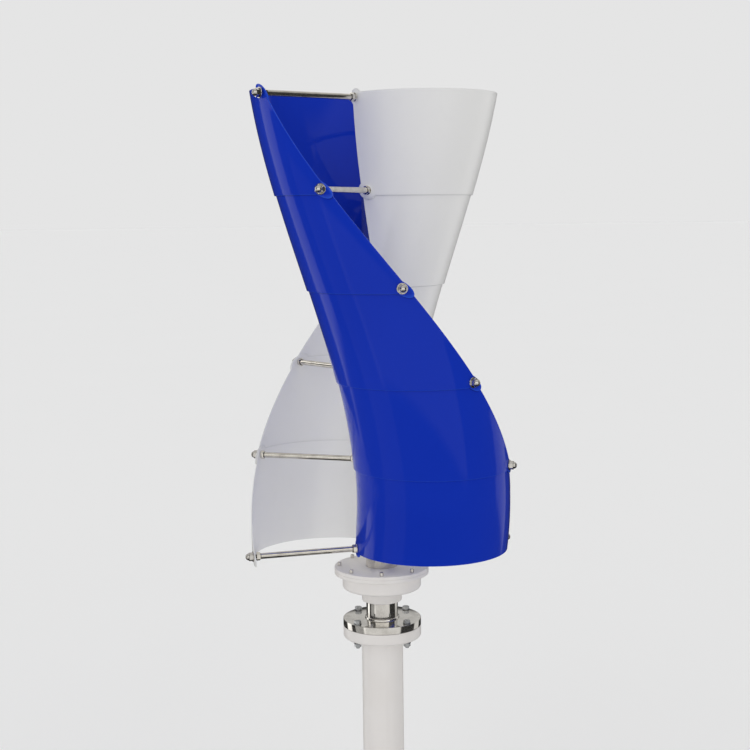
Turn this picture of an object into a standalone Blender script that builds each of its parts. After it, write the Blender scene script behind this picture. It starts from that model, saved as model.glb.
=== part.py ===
"""Small vertical-axis wind turbine.

Two twisted half-round scoops are tied to a centre tube by six rows of rods. The tube turns with the
housing of a slow disc generator, whose fixed shaft is bolted to a flanged pole. Metres, +Z up, with the
origin at the centre of the pole's foot and the turning axis on Z.
"""

import math

import bmesh
import bpy
from mathutils import Matrix

# Rotor
SEGMENTS = 5
ROW_SPACING = 0.190
TWIST_PER_SEGMENT = math.radians(32.0)
TOP_ROW_ANGLE = math.radians(-144.6)
SCOOP_DIAMETER = 0.327
INNER_ROW_RADIUS = 0.051
SHEET = 0.002
LAP = 0.0105
LAP_GAP = 0.0014
EDGE_MARGIN = 0.012
EAR_RADIUS = 0.0185

# Tie rods and their nuts
ROD_RADIUS = 0.0062
STUD_RADIUS = 0.0042
HOLE_RADIUS = 0.0046
HEX_RADIUS = 0.0092
HEX_LENGTH = 0.0075
WASHER_RADIUS = 0.011
WASHER = 0.0016
DOME_RADIUS = 0.0076

# Generator, pole and their flanges
TUBE_RADIUS = 0.0335
TUBE_WALL = 0.003
BOSS_RADIUS = 0.008
COVER_RADIUS = 0.1015
COVER = 0.007
LIP = 0.008
HOUSING_RADIUS = 0.0845
HOUSING_WALL = 0.0055
HUB_RADIUS = 0.043
SHAFT_FLANGE_RADIUS = 0.084
SHAFT_FLANGE = 0.0155
NECK_RADIUS = 0.034
JOURNAL_RADIUS = 0.015
CABLE_BORE_RADIUS = 0.007
BEARING_RADIUS = 0.031
BEARING = 0.016
POLE_RADIUS = 0.08890 / 2
POLE_WALL = 0.004
POLE_HEIGHT = 0.450
POLE_FLANGE = 0.025
FOOT_RADIUS = 0.100
FOOT = 0.012
FLANGE_BOLTS = 4
FLANGE_BOLT_CIRCLE = 0.074
BOLT_RADIUS = 0.004
BOLT_HEX_RADIUS = 0.0075

GAP = 0.0003

# Facets round a turned piece
ROUND_LARGE = 32
ROUND_MEDIUM = 24
ROUND_SMALL = 8

# Heights, worked up from the top face of the pole's flange
SHAFT_FLANGE_Z = POLE_HEIGHT + GAP
NECK_Z = SHAFT_FLANGE_Z + SHAFT_FLANGE
HUB_Z = NECK_Z + 0.0385
HOUSING_Z = HUB_Z + 0.0285
LIP_Z = HOUSING_Z + 0.0320
COVER_Z = LIP_Z + LIP + GAP
BOTTOM_ROW_Z = COVER_Z + COVER + 0.041
FLOOR_Z = HOUSING_Z + LIP

SCOOP_RADIUS = SCOOP_DIAMETER / 2
OUTER_ROW_RADIUS = SCOOP_DIAMETER - INNER_ROW_RADIUS
SCOOP_CENTRE = OUTER_ROW_RADIUS - SCOOP_RADIUS
ARC_LENGTH = math.pi * SCOOP_RADIUS
LAP_STEP = SHEET + LAP_GAP
SEAT = SHEET + LAP_GAP / 2 + 0.0007
ROWS = range(SEGMENTS + 1)
TUBE_TOP_Z = BOTTOM_ROW_Z + (SEGMENTS - 1) * ROW_SPACING + 0.022

COLOURS = {
    "blue_paint": ((0.010, 0.026, 0.350), 0.18, 0.0),
    "white_paint": ((0.780, 0.780, 0.790), 0.32, 0.0),
    "base_white": ((0.800, 0.790, 0.780), 0.42, 0.0),
    "stainless": ((0.620, 0.600, 0.570), 0.22, 1.0),
    "zinc_steel": ((0.520, 0.530, 0.540), 0.35, 1.0),
    "magnet_steel": ((0.350, 0.350, 0.370), 0.40, 1.0),
    "coil_resin": ((0.050, 0.140, 0.060), 0.45, 0.0),
    "bearing_steel": ((0.560, 0.560, 0.570), 0.20, 1.0),
    "seal_rubber": ((0.020, 0.020, 0.020), 0.60, 0.0),
}


def row_z(row):
    """Height of a bolt row; row 0 is at the top."""
    return BOTTOM_ROW_Z + (SEGMENTS - row) * ROW_SPACING


def row_angle(row):
    """Direction from the axis to the blue scoop's outer edge at a bolt row, which may be a fraction."""
    return TOP_ROW_ANGLE + row * TWIST_PER_SEGMENT


def clear_scene():
    for obj in list(bpy.data.objects):
        bpy.data.objects.remove(obj, do_unlink=True)


def new_collection(name):
    made = bpy.data.collections.new(name)
    bpy.context.scene.collection.children.link(made)
    return made


def new_material(name):
    colour, roughness, metallic = COLOURS[name]
    made = bpy.data.materials.new(name)
    made.use_nodes = True
    shader = made.node_tree.nodes["Principled BSDF"]
    shader.inputs["Base Color"].default_value = (*colour, 1.0)
    shader.inputs["Roughness"].default_value = roughness
    shader.inputs["Metallic"].default_value = metallic
    made.diffuse_color = (*colour, 1.0)
    return made


clear_scene()
PARTS = new_collection("small_wind_turbine")
CUTTERS = new_collection("cutters")
MATERIALS = {name: new_material(name) for name in COLOURS}


def place(name, mesh, group=PARTS, matrix=None):
    """A new object in a collection, with its mesh at the given matrix."""
    made = bpy.data.objects.new(name, mesh)
    group.objects.link(made)
    if matrix is not None:
        made.matrix_world = matrix
    if group is CUTTERS:
        made.hide_render = True
        made.display_type = "WIRE"
    return made


def paint(obj, material):
    obj.data.materials.clear()
    obj.data.materials.append(MATERIALS[material])


def boolean(obj, other, operation="DIFFERENCE"):
    modifier = obj.modifiers.new(f"{operation.lower()}_{other.name}", "BOOLEAN")
    modifier.operation = operation
    modifier.solver = "EXACT"
    modifier.object = other


def turned(name, profile, steps=ROUND_MEDIUM, closed=False, group=PARTS, matrix=None):
    """A profile of (radius, height) points turned round Z; it runs down the outer side first."""
    bm = bmesh.new()
    points = [bm.verts.new((radius, 0.0, height)) for radius, height in profile]
    for start, end in zip(points, points[1:]):
        bm.edges.new((start, end))
    if closed:
        bm.edges.new((points[-1], points[0]))
    mesh = bpy.data.meshes.new(name)
    bm.to_mesh(mesh)
    bm.free()
    made = place(name, mesh, group, matrix)
    screw = made.modifiers.new("turn", "SCREW")
    screw.axis = "Z"
    screw.steps = steps
    screw.render_steps = steps
    screw.use_merge_vertices = True
    screw.merge_threshold = 0.00001
    return made


def ring(name, inner, outer, low, high, steps=ROUND_MEDIUM, group=PARTS):
    """A plain ring between two radii and two heights."""
    profile = [(outer, high), (outer, low), (inner, low), (inner, high)]
    return turned(name, profile, steps, closed=True, group=group)


def prism(name, sides, radius, low, high, group=CUTTERS, matrix=None):
    """A prism or a cylinder along local Z between two heights."""
    bm = bmesh.new()
    middle = Matrix.Translation((0.0, 0.0, (low + high) / 2))
    size = {"radius1": radius, "radius2": radius, "depth": high - low}
    bmesh.ops.create_cone(bm, cap_ends=True, segments=sides, matrix=middle, **size)
    mesh = bpy.data.meshes.new(name)
    bm.to_mesh(mesh)
    bm.free()
    return place(name, mesh, group, matrix)


def finished_mesh(obj, helpers=()):
    """The evaluated mesh of a master object, which is then removed along with its helpers."""
    bpy.context.view_layer.update()
    graph = bpy.context.evaluated_depsgraph_get()
    mesh = bpy.data.meshes.new_from_object(obj.evaluated_get(graph))
    mesh.name = obj.name
    for spent in (obj, *helpers):
        bpy.data.objects.remove(spent, do_unlink=True)
    return mesh


def smooth(mesh):
    mesh.shade_smooth()
    mesh.set_sharp_from_angle(angle=math.radians(35))


def along_row(row, half_turn):
    """The matrix that lays local Z outwards along a bolt row, on the blue or the white side."""
    lift = Matrix.Translation((0.0, 0.0, row_z(row)))
    turn = Matrix.Rotation(row_angle(row) + half_turn * math.pi, 4, "Z")
    return lift @ turn @ Matrix.Rotation(math.pi / 2, 4, "Y")


def on_circle(count, radius, first):
    """Matrices of evenly spaced places on a circle round the axis."""
    for n in range(count):
        angle = first + n * math.tau / count
        yield Matrix.Translation((radius * math.cos(angle), radius * math.sin(angle), 0.0))


# Scoops


def sheet_point(along, z, first_row):
    """A point of a segment's middle surface: `along` is measured round the sheet from its outer bolt line."""
    row = SEGMENTS - (z - BOTTOM_ROW_Z) / ROW_SPACING
    radius = SCOOP_RADIUS + LAP_STEP * (row - first_row - 0.5)
    past_end = along - ARC_LENGTH
    if along < 0.0:
        out, side = SCOOP_CENTRE + radius, along
    elif past_end > 0.0:
        out, side = SCOOP_CENTRE - radius, -past_end
    else:
        bend = along / SCOOP_RADIUS
        out, side = SCOOP_CENTRE + radius * math.cos(bend), radius * math.sin(bend)
    turn = row_angle(row)
    x = out * math.cos(turn) + side * math.sin(turn)
    y = out * math.sin(turn) - side * math.cos(turn)
    return x, y, z


def with_ears(along, z, bolts, on_edge):
    """A place on the flat pattern; an edge point near a bolt moves out to the round of its ear."""
    if on_edge:
        for bolt_along, bolt_z in bolts:
            across, up = along - bolt_along, z - bolt_z
            away = math.hypot(across, up)
            if away < EAR_RADIUS:
                stretch = EAR_RADIUS / away
                return bolt_along + across * stretch, bolt_z + up * stretch
    return along, z


def blade_mesh(first_row):
    """One rolled segment between two bolt rows, lapping past both, as an open sheet."""
    half = EDGE_MARGIN / 2
    end = [-EDGE_MARGIN, -half, 0.0, half, EDGE_MARGIN]
    middle_steps = 8
    span = ARC_LENGTH - 2 * EDGE_MARGIN
    middle = [EDGE_MARGIN + span * n / middle_steps for n in range(1, middle_steps)]
    columns = end + middle + [ARC_LENGTH - place_in for place_in in reversed(end)]
    top, bottom = row_z(first_row), row_z(first_row + 1)
    steps = (-LAP, 0.0, LAP, EAR_RADIUS + 0.002)
    heights = [bottom + step for step in steps]
    heights.append((bottom + top) / 2)
    heights += [top - step for step in reversed(steps)]
    bolts = [(along, z) for along in (0.0, ARC_LENGTH) for z in (top, bottom)]
    across, up = len(columns) - 1, len(heights) - 1
    bm = bmesh.new()
    bmesh.ops.create_grid(bm, x_segments=across, y_segments=up, size=0.5)
    for vert in bm.verts:
        i = round((vert.co.x + 0.5) * across)
        j = round((vert.co.y + 0.5) * up)
        on_edge = i in (0, across) or j in (0, up)
        along, z = with_ears(columns[i], heights[j], bolts, on_edge)
        vert.co = sheet_point(along, z, first_row)
    mesh = bpy.data.meshes.new(f"blade_{first_row + 1}")
    bm.to_mesh(mesh)
    bm.free()
    mesh.shade_smooth()
    return mesh


def build_blades():
    reach = OUTER_ROW_RADIUS + 0.02
    drills = []
    for row in ROWS:
        where = along_row(row, 0)
        drills.append(prism(f"row_drill_{row}", ROUND_SMALL, HOLE_RADIUS, -reach, reach, matrix=where))
    for first_row in range(SEGMENTS):
        for half_turn, side in enumerate(("blue", "white")):
            mesh = blade_mesh(first_row)
            where = Matrix.Rotation(half_turn * math.pi, 4, "Z")
            blade = place(f"{side}_blade_{first_row + 1}", mesh, matrix=where)
            paint(blade, f"{side}_paint")
            sheet = blade.modifiers.new("sheet", "SOLIDIFY")
            sheet.thickness = SHEET
            sheet.offset = 0.0
            for row in (first_row, first_row + 1):
                boolean(blade, drills[row])
    return drills


# Rods and nuts


def rod_mesh():
    """A tie rod along Z from the axis: stud, washer, hexagon, bar, hexagon, stud."""
    inner_seat = INNER_ROW_RADIUS + SEAT
    outer_seat = OUTER_ROW_RADIUS - SEAT
    stud_start = TUBE_RADIUS + 0.0035
    stud_end = OUTER_ROW_RADIUS + SEAT + 0.008
    sunk = 0.0005
    profile = [
        (0.0, stud_end),
        (STUD_RADIUS, stud_end),
        (STUD_RADIUS, outer_seat - sunk),
        (ROD_RADIUS, outer_seat - sunk),
        (ROD_RADIUS, inner_seat + WASHER),
        (WASHER_RADIUS - 0.0015, inner_seat + WASHER),
        (WASHER_RADIUS - 0.0015, inner_seat),
        (STUD_RADIUS, inner_seat),
        (STUD_RADIUS, stud_start),
        (0.0, stud_start),
    ]
    rod = turned("tie_rod", profile, steps=ROUND_SMALL, group=CUTTERS)
    hex_low = inner_seat + WASHER
    inner_hex = prism("inner_hex", 6, HEX_RADIUS, hex_low - sunk, hex_low + HEX_LENGTH)
    outer_hex = prism("outer_hex", 6, HEX_RADIUS, outer_seat - HEX_LENGTH, outer_seat)
    boolean(rod, inner_hex, "UNION")
    boolean(rod, outer_hex, "UNION")
    return finished_mesh(rod, (inner_hex, outer_hex))


def dome_nut_mesh(name, seat):
    """A domed nut with its washer face at `seat` along Z, bored blind for the rod's stud."""
    washer_top = seat + WASHER
    hex_top = washer_top + HEX_LENGTH
    bore_top = seat + 0.0115
    dome = [
        (DOME_RADIUS * math.cos(math.radians(a)), hex_top + DOME_RADIUS * math.sin(math.radians(a)))
        for a in (90, 45, 0)
    ]
    dome[0] = (0.0, dome[0][1])
    profile = [
        *dome,
        (DOME_RADIUS, washer_top),
        (WASHER_RADIUS, washer_top),
        (WASHER_RADIUS, seat),
        (HOLE_RADIUS, seat),
        (HOLE_RADIUS, bore_top),
        (0.0, bore_top),
    ]
    nut = turned(name, profile, steps=ROUND_SMALL, group=CUTTERS)
    flats = prism("nut_flats", 6, HEX_RADIUS, washer_top - 0.0005, hex_top - 0.0005)
    core = prism("nut_core", 6, STUD_RADIUS + 0.0012, seat - 0.001, bore_top - 0.001)
    boolean(flats, core)
    boolean(nut, flats, "UNION")
    return finished_mesh(nut, (flats, core))


def build_rods():
    rod = rod_mesh()
    nut = dome_nut_mesh("dome_nut", OUTER_ROW_RADIUS + SEAT)
    for mesh in (rod, nut):
        smooth(mesh)
        mesh.materials.append(MATERIALS["stainless"])
    for row in ROWS:
        for half_turn, side in enumerate(("blue", "white")):
            where = along_row(row, half_turn)
            place(f"tie_rod_{side}_{row}", rod, matrix=where)
            place(f"dome_nut_{side}_{row}", nut, matrix=where)


def build_top_inner_nuts():
    """Locking nuts behind the inner edges at the top row, above the end of the centre tube."""
    low = TUBE_RADIUS + 0.0045
    high = INNER_ROW_RADIUS - SEAT
    nut = prism("top_inner_nut", 6, HEX_RADIUS, low, high)
    bore = prism("nut_bore", ROUND_SMALL, HOLE_RADIUS, low - 0.001, high + 0.001)
    boolean(nut, bore)
    mesh = finished_mesh(nut, (bore,))
    mesh.materials.append(MATERIALS["stainless"])
    for half_turn, side in enumerate(("blue", "white")):
        place(f"top_inner_nut_{side}", mesh, matrix=along_row(0, half_turn))


# Centre tube


def build_centre_tube(drills):
    """The tube with its closed top, its foot flange under the cover, and a boss towards each inner edge."""
    foot_radius = 0.060
    foot_top = COVER_Z - GAP
    foot_bottom = foot_top - 0.005
    inner = TUBE_RADIUS - TUBE_WALL
    profile = [
        (0.0, TUBE_TOP_Z),
        (TUBE_RADIUS - 0.0015, TUBE_TOP_Z),
        (TUBE_RADIUS, TUBE_TOP_Z - 0.0015),
        (TUBE_RADIUS, foot_top),
        (foot_radius, foot_top),
        (foot_radius, foot_bottom),
        (inner, foot_bottom),
        (inner, TUBE_TOP_Z - 0.004),
        (0.0, TUBE_TOP_Z - 0.004),
    ]
    tube = turned("centre_tube", profile)
    paint(tube, "stainless")
    for row in list(ROWS)[1:]:
        for half_turn in (0, 1):
            boss = prism(
                f"boss_{row}_{half_turn}",
                ROUND_SMALL,
                BOSS_RADIUS,
                inner + 0.001,
                INNER_ROW_RADIUS - SEAT,
                matrix=along_row(row, half_turn),
            )
            boolean(tube, boss, "UNION")
        boolean(tube, drills[row])


# Generator


def build_cover():
    inner = TUBE_RADIUS + 0.0005
    top = COVER_Z + COVER
    chamfer = 0.001
    profile = [
        (COVER_RADIUS - chamfer, top),
        (COVER_RADIUS, top - chamfer),
        (COVER_RADIUS, COVER_Z),
        (inner, COVER_Z),
        (inner, top),
    ]
    paint(turned("generator_cover", profile, steps=ROUND_LARGE, closed=True), "base_white")


def build_housing():
    """The bowl: a lip under the cover, a round body and the bearing hub under it."""
    corner = 0.006
    inner = HOUSING_RADIUS - HOUSING_WALL
    shelf = BEARING_RADIUS - 0.003
    bore = BEARING_RADIUS + 0.0002
    rounded = [
        (
            HOUSING_RADIUS - corner * (1 - math.cos(math.radians(a))),
            HOUSING_Z + corner * (1 - math.sin(math.radians(a))),
        )
        for a in (0, 45, 90)
    ]
    profile = [
        (COVER_RADIUS, LIP_Z + LIP),
        (COVER_RADIUS, LIP_Z + 0.0015),
        (COVER_RADIUS - 0.0015, LIP_Z),
        (HOUSING_RADIUS, LIP_Z),
        *rounded,
        (HUB_RADIUS, HOUSING_Z),
        (HUB_RADIUS, HUB_Z + 0.0015),
        (HUB_RADIUS - 0.0015, HUB_Z),
        (bore, HUB_Z),
        (bore, FLOOR_Z - 0.0018),
        (shelf, FLOOR_Z - 0.0018),
        (shelf, FLOOR_Z),
        (inner, FLOOR_Z),
        (inner, LIP_Z + LIP),
    ]
    paint(turned("generator_housing", profile, steps=ROUND_LARGE, closed=True), "base_white")


def build_bearing(name, top):
    """The outer race, which turns with the housing, and the inner race on the fixed shaft."""
    waist = BEARING_RADIUS - 0.008
    land = JOURNAL_RADIUS + 0.007
    low, high = top - BEARING, top
    paint(ring(f"{name}_outer", waist, BEARING_RADIUS, low, high), "bearing_steel")
    paint(ring(f"{name}_inner", JOURNAL_RADIUS + 0.0002, land, low, high), "bearing_steel")


def build_generator_inside():
    foot_bottom = COVER_Z - GAP - 0.005
    magnet_inner = 0.040
    magnet_outer = HOUSING_RADIUS - HOUSING_WALL - 0.001
    air_gap = 0.0015
    upper_low = foot_bottom - GAP - 0.006
    coil_low = upper_low - air_gap - 0.008
    shaft_top = upper_low + 0.003
    upper = ring("upper_magnet_rotor", magnet_inner, magnet_outer, upper_low, foot_bottom - GAP)
    coils = ring("stator_coil_disc", JOURNAL_RADIUS + GAP, magnet_outer, coil_low, upper_low - air_gap)
    lower = ring("lower_magnet_rotor", magnet_inner, magnet_outer, FLOOR_Z + GAP, coil_low - air_gap)
    paint(upper, "magnet_steel")
    paint(coils, "coil_resin")
    paint(lower, "magnet_steel")
    upper_top = FLOOR_Z - 0.0018 - GAP
    build_bearing("upper_bearing", upper_top)
    build_bearing("lower_bearing", upper_top - BEARING - GAP)
    seal_top = upper_top - 2 * (BEARING + GAP)
    seal = ring("hub_seal", JOURNAL_RADIUS + 0.0045, BEARING_RADIUS, HUB_Z + GAP, seal_top)
    paint(seal, "seal_rubber")
    nut_low = upper_low - air_gap + GAP
    nut = prism("shaft_lock_nut", 6, 0.024, nut_low, shaft_top - GAP, group=PARTS)
    bore = prism("lock_nut_bore", 24, JOURNAL_RADIUS + 2 * GAP, nut_low - 0.001, shaft_top + 0.001)
    boolean(nut, bore)
    paint(nut, "zinc_steel")
    return shaft_top


def build_shaft(shaft_top):
    """The fixed shaft: a hollow journal, the wide neck, a weld and the bolting flange."""
    neck_top = HUB_Z - 0.0010
    shoulder = JOURNAL_RADIUS + 0.004
    weld = 0.0025
    profile = [
        (JOURNAL_RADIUS - 0.001, shaft_top),
        (JOURNAL_RADIUS, shaft_top - 0.001),
        (JOURNAL_RADIUS, HUB_Z + 0.0005),
        (shoulder, HUB_Z + 0.0005),
        (shoulder, neck_top),
        (NECK_RADIUS - 0.001, neck_top),
        (NECK_RADIUS, neck_top - 0.001),
        (NECK_RADIUS, NECK_Z + weld),
        (NECK_RADIUS + weld, NECK_Z),
        (SHAFT_FLANGE_RADIUS - 0.001, NECK_Z),
        (SHAFT_FLANGE_RADIUS, NECK_Z - 0.001),
        (SHAFT_FLANGE_RADIUS, SHAFT_FLANGE_Z + 0.001),
        (SHAFT_FLANGE_RADIUS - 0.001, SHAFT_FLANGE_Z),
        (CABLE_BORE_RADIUS, SHAFT_FLANGE_Z),
        (CABLE_BORE_RADIUS, shaft_top),
    ]
    shaft = turned("stator_shaft", profile, steps=ROUND_LARGE, closed=True)
    paint(shaft, "stainless")
    return shaft


# Pole


def build_pole():
    """A tube welded between a thick top flange and a bolting foot."""
    corner = 0.005
    flange_low = POLE_HEIGHT - POLE_FLANGE
    flange_radius = SHAFT_FLANGE_RADIUS
    inner = POLE_RADIUS - POLE_WALL
    gland = 0.020
    weld = 0.005
    rounded = [
        (
            flange_radius - corner * (1 - math.cos(math.radians(a))),
            flange_low + corner * (1 - math.sin(math.radians(a))),
        )
        for a in (0, 30, 60, 90)
    ]
    profile = [
        (flange_radius - 0.001, POLE_HEIGHT),
        (flange_radius, POLE_HEIGHT - 0.001),
        *rounded,
        (POLE_RADIUS, flange_low),
        (POLE_RADIUS, FOOT + weld),
        (POLE_RADIUS + weld, FOOT),
        (FOOT_RADIUS - 0.0015, FOOT),
        (FOOT_RADIUS, FOOT - 0.0015),
        (FOOT_RADIUS, 0.0),
        (inner, 0.0),
        (inner, POLE_HEIGHT - 0.010),
        (gland, POLE_HEIGHT - 0.010),
        (gland, POLE_HEIGHT),
    ]
    pole = turned("pole", profile, steps=ROUND_LARGE, closed=True)
    paint(pole, "base_white")
    return pole


# Flange bolts


def build_flange_bolts(shaft, pole):
    """Four hexagon bolts down through both flanges, each with a nut and washer under the pole's flange."""
    head_low = NECK_Z + GAP
    nut_high = POLE_HEIGHT - POLE_FLANGE - GAP
    nut_low = nut_high - WASHER - 0.0065
    washer = BOLT_HEX_RADIUS + 0.001
    profile = [
        (0.0, head_low + WASHER + 0.0002),
        (BOLT_RADIUS, head_low + WASHER + 0.0002),
        (washer, head_low + WASHER),
        (washer, head_low),
        (BOLT_RADIUS, head_low),
        (BOLT_RADIUS, nut_low - 0.0035),
        (0.0, nut_low - 0.0035),
    ]
    bolt = turned("flange_bolt", profile, steps=ROUND_SMALL, group=CUTTERS)
    hex_low = head_low + WASHER - 0.0005
    head = prism("bolt_head", 6, BOLT_HEX_RADIUS, hex_low, hex_low + 0.006)
    boolean(bolt, head, "UNION")
    bolt_mesh = finished_mesh(bolt, (head,))
    nut = ring("flange_nut", BOLT_RADIUS, washer, nut_high - WASHER, nut_high, ROUND_SMALL, CUTTERS)
    flats = prism("nut_flats", 6, BOLT_HEX_RADIUS, nut_low, nut_high - WASHER + 0.0005)
    bore = prism("nut_bore", ROUND_SMALL, BOLT_RADIUS + 2 * GAP, nut_low - 0.001, nut_high + 0.001)
    boolean(nut, flats, "UNION")
    boolean(nut, bore)
    nut_mesh = finished_mesh(nut, (flats, bore))
    for mesh in (bolt_mesh, nut_mesh):
        smooth(mesh)
        mesh.materials.append(MATERIALS["zinc_steel"])
    places = on_circle(FLANGE_BOLTS, FLANGE_BOLT_CIRCLE, math.pi / FLANGE_BOLTS)
    for n, where in enumerate(places, start=1):
        place(f"flange_bolt_{n}", bolt_mesh, matrix=where)
        place(f"flange_nut_{n}", nut_mesh, matrix=where)
        low, high = POLE_HEIGHT - 0.04, NECK_Z + 0.01
        drill = prism(f"flange_drill_{n}", ROUND_SMALL, BOLT_RADIUS + 2 * GAP, low, high, matrix=where)
        boolean(shaft, drill)
        boolean(pole, drill)


def build_foot_holes(pole):
    """Four anchor holes in the foot."""
    anchor_radius = 0.006
    anchor_circle = 0.080
    for n, where in enumerate(on_circle(4, anchor_circle, math.pi / 4), start=1):
        boolean(pole, prism(f"anchor_drill_{n}", 12, anchor_radius, -0.01, FOOT + 0.01, matrix=where))


def main():
    drills = build_blades()
    build_rods()
    build_top_inner_nuts()
    build_centre_tube(drills)
    build_cover()
    build_housing()
    shaft_top = build_generator_inside()
    shaft = build_shaft(shaft_top)
    pole = build_pole()
    build_flange_bolts(shaft, pole)
    build_foot_holes(pole)


main()
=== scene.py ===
"""Small vertical-axis wind turbine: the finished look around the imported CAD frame.

Fine versions of every visible part are built here in mesh code and ride on the CAD bodies "base" and
"rotor". The sealed inner parts of the generator keep their CAD meshes and get finished materials.
"""

import math

import bmesh
import bpy
from mathutils import Matrix, Vector


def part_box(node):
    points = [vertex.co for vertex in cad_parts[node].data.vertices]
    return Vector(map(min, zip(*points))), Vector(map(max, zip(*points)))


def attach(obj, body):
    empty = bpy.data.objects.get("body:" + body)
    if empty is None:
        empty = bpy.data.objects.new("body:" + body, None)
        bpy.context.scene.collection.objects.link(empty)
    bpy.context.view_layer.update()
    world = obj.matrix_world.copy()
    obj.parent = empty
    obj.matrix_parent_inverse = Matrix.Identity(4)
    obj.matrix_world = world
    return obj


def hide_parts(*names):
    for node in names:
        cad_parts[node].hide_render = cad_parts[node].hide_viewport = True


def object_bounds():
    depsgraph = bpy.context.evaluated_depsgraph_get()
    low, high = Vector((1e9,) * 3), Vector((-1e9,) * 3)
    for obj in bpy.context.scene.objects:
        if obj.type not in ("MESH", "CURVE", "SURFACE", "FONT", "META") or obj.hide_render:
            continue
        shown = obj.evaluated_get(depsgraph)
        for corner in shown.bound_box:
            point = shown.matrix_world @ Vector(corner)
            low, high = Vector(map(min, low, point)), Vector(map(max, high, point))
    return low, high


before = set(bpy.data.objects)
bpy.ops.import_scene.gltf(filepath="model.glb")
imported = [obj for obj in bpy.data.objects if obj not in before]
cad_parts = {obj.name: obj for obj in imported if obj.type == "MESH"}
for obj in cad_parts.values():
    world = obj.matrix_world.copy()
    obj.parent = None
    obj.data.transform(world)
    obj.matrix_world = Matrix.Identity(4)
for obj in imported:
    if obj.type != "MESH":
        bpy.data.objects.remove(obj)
CAD_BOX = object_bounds()


def low_z(node):
    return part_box(node)[0].z


def high_z(node):
    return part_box(node)[1].z


def middle_z(node):
    return (low_z(node) + high_z(node)) / 2


def outer_radius(node):
    """Half the width across X, which is the radius of a turned node."""
    low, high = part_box(node)
    return (high.x - low.x) / 2


# Rotor: the driving dimensions of the CAD part, with its heights read from the frame
SEGMENTS = 5
TWIST_PER_SEGMENT = math.radians(32.0)
TOP_ROW_ANGLE = math.radians(-144.6)
SCOOP_RADIUS = 0.1635
INNER_ROW_RADIUS = 0.051
SHEET = 0.002
LAP = 0.0105
LAP_STEP = 0.0034
SEAT = 0.0034
EDGE_MARGIN = 0.012
EAR_RADIUS = 0.0185

BOTTOM_ROW_Z = middle_z("dome_nut_blue_5")
ROW_SPACING = (middle_z("dome_nut_blue_0") - BOTTOM_ROW_Z) / SEGMENTS
OUTER_ROW_RADIUS = 2 * SCOOP_RADIUS - INNER_ROW_RADIUS
SCOOP_CENTRE = OUTER_ROW_RADIUS - SCOOP_RADIUS
ARC_LENGTH = math.pi * SCOOP_RADIUS
ROWS = range(SEGMENTS + 1)
SIDES = ("blue", "white")

# Rods, nuts and screws
ROD_RADIUS = 0.0062
STUD_RADIUS = 0.0042
NUT_BORE = STUD_RADIUS + 0.0004
HEX_RADIUS = 0.0092
HEX_LENGTH = 0.0075
WASHER_RADIUS = 0.011
WASHER = 0.0016
DOME_RADIUS = 0.0073
BOLT_RADIUS = 0.004
BOLT_HEX_RADIUS = 0.0075
COVER_SCREWS = 8
COVER_SCREW_CIRCLE = 0.0905

# Centre tube
TUBE_RADIUS = 0.0335
TUBE_BORE = 0.0305

# Facets round a turned piece, large or small, and along a fillet
ROUND_FINE = 128
ROUND_SMALL = 48
FILLET_STEPS = 4

# A hexagon's corners are turned back beyond this share of their radius, at this slope
TURNED_SHARE = 0.94
TURNED_SLOPE = math.tan(math.radians(38))

# Mesh building


def new_piece(name, bm, material, body, replaced, matrix=None):
    """Turns a bmesh into a smooth-shaded piece that rides on a body and stands for CAD nodes."""
    bmesh.ops.recalc_face_normals(bm, faces=bm.faces)
    mesh = bpy.data.meshes.new(name)
    bm.to_mesh(mesh)
    bm.free()
    return place_piece(name, mesh, material, body, replaced, matrix)


def keep_local(mesh):
    """Stores where each point lies in the piece's own frame, so that grain can follow a bar or a nut."""
    places = [value for vert in mesh.vertices for value in vert.co]
    mesh.attributes.new("local", "FLOAT_VECTOR", "POINT").data.foreach_set("vector", places)


def place_piece(name, mesh, material, body, replaced, matrix=None, crease=32.0):
    """Links a mesh as a piece. Its place goes into the mesh, so its bounding box is exact."""
    keep_local(mesh)
    if matrix is not None:
        mesh.transform(matrix)
    mesh.shade_smooth()
    mesh.set_sharp_from_angle(angle=math.radians(crease))
    if not mesh.materials:
        mesh.materials.append(material)
    piece = bpy.data.objects.new(name, mesh)
    bpy.context.scene.collection.objects.link(piece)
    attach(piece, body)
    if replaced:
        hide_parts(*replaced)
    return piece


def circle_ring(radius, height, count=ROUND_SMALL):
    return [
        (radius * math.cos(math.tau * n / count), radius * math.sin(math.tau * n / count), height)
        for n in range(count)
    ]


def hexagon_radius(corner_radius, angle):
    """Distance from the axis to the side of a hexagon at an angle."""
    flat = corner_radius * math.cos(math.pi / 6)
    return flat / math.cos((angle % (math.pi / 3)) - math.pi / 6)


def hexagon_ring(corner_radius, height, turned=0.0):
    """A ring round a hexagon. With `turned` 1 or -1 its corners lie higher or lower, as on a turned nut."""
    points = []
    for n in range(ROUND_SMALL):
        angle = math.tau * n / ROUND_SMALL
        radius = hexagon_radius(corner_radius, angle)
        back = turned * max(0.0, radius - corner_radius * TURNED_SHARE) * TURNED_SLOPE
        points.append((radius * math.cos(angle), radius * math.sin(angle), height + back))
    return points


def chamfered_hexagon(corner_radius, low, high):
    """Four rings from the low face of a nut to its high face."""
    face = corner_radius * math.cos(math.pi / 6)
    return [
        circle_ring(face, low),
        hexagon_ring(corner_radius, low, 1.0),
        hexagon_ring(corner_radius, high, -1.0),
        circle_ring(face, high),
    ]


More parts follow.
